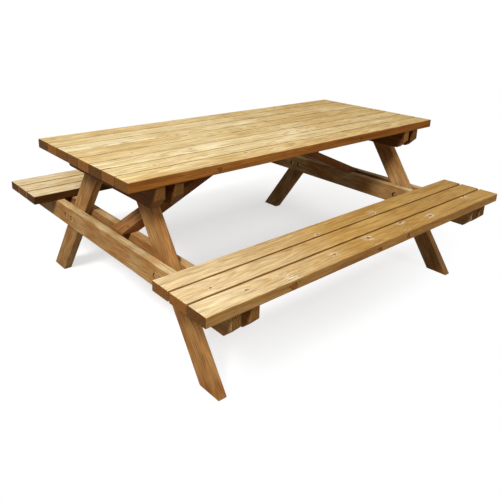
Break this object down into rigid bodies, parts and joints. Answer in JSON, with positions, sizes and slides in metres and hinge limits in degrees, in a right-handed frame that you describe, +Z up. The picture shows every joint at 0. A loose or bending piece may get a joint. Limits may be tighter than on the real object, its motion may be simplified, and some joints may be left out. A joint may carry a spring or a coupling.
{
  "type": "picnic table",
  "caption": "A-frame timber picnic table with a planked top and attached bench seats, its legs bolted between doubled cross bearers and braced lengthwise.",
  "frame": {"origin": "on the ground, under the middle of the table", "axes": "+X along the length of the boards, +Z up, -Y towards the front seat"},
  "size_m": [1.8, 1.537, 0.724],
  "materials": {
    "top_boards": "planed, pressure-treated softwood",
    "seat_boards": "planed, pressure-treated softwood",
    "frame_timber": "planed, pressure-treated softwood",
    "zinc_steel": "zinc plated"
  },
  "bodies": {
    "root": {"top_board_1": "top_boards", "top_board_2": "top_boards", "top_board_3": "top_boards", "top_board_4": "top_boards", "top_board_5": "top_boards", "top_board_6": "top_boards", "top_board_7": "top_boards", "top_board_8": "top_boards", "seat_board_front_1": "seat_boards", "seat_board_front_2": "seat_boards", "seat_board_front_3": "seat_boards", "seat_board_back_1": "seat_boards", "seat_board_back_2": "seat_boards", "seat_board_back_3": "seat_boards", "leg_left_front": "frame_timber", "leg_left_back": "frame_timber", "leg_right_front": "frame_timber", "leg_right_back": "frame_timber", "seat_bearer_left_outer": "frame_timber", "seat_bearer_left_inner": "frame_timber", "seat_bearer_right_outer": "frame_timber", "seat_bearer_right_inner": "frame_timber", "top_bearer_left_outer": "frame_timber", "top_bearer_left_inner": "frame_timber", "top_bearer_right_outer": "frame_timber", "top_bearer_right_inner": "frame_timber", "brace_left": "frame_timber", "brace_right": "frame_timber", "bolt_seat_left_front_1": "zinc_steel", "bolt_seat_left_front_2": "zinc_steel", "bolt_seat_left_back_1": "zinc_steel", "bolt_seat_left_back_2": "zinc_steel", "bolt_seat_right_front_1": "zinc_steel", "bolt_seat_right_front_2": "zinc_steel", "bolt_seat_right_back_1": "zinc_steel", "bolt_seat_right_back_2": "zinc_steel", "bolt_top_left_front_1": "zinc_steel", "bolt_top_left_front_2": "zinc_steel", "bolt_top_left_back_1": "zinc_steel", "bolt_top_left_back_2": "zinc_steel", "bolt_top_right_front_1": "zinc_steel", "bolt_top_right_front_2": "zinc_steel", "bolt_top_right_back_1": "zinc_steel", "bolt_top_right_back_2": "zinc_steel", "nut_seat_left_front_1": "zinc_steel", "nut_seat_left_front_2": "zinc_steel", "nut_seat_left_back_1": "zinc_steel", "nut_seat_left_back_2": "zinc_steel", "nut_seat_right_front_1": "zinc_steel", "nut_seat_right_front_2": "zinc_steel", "nut_seat_right_back_1": "zinc_steel", "nut_seat_right_back_2": "zinc_steel", "nut_top_left_front_1": "zinc_steel", "nut_top_left_front_2": "zinc_steel", "nut_top_left_back_1": "zinc_steel", "nut_top_left_back_2": "zinc_steel", "nut_top_right_front_1": "zinc_steel", "nut_top_right_front_2": "zinc_steel", "nut_top_right_back_1": "zinc_steel", "nut_top_right_back_2": "zinc_steel"}
  },
  "joints": []
}
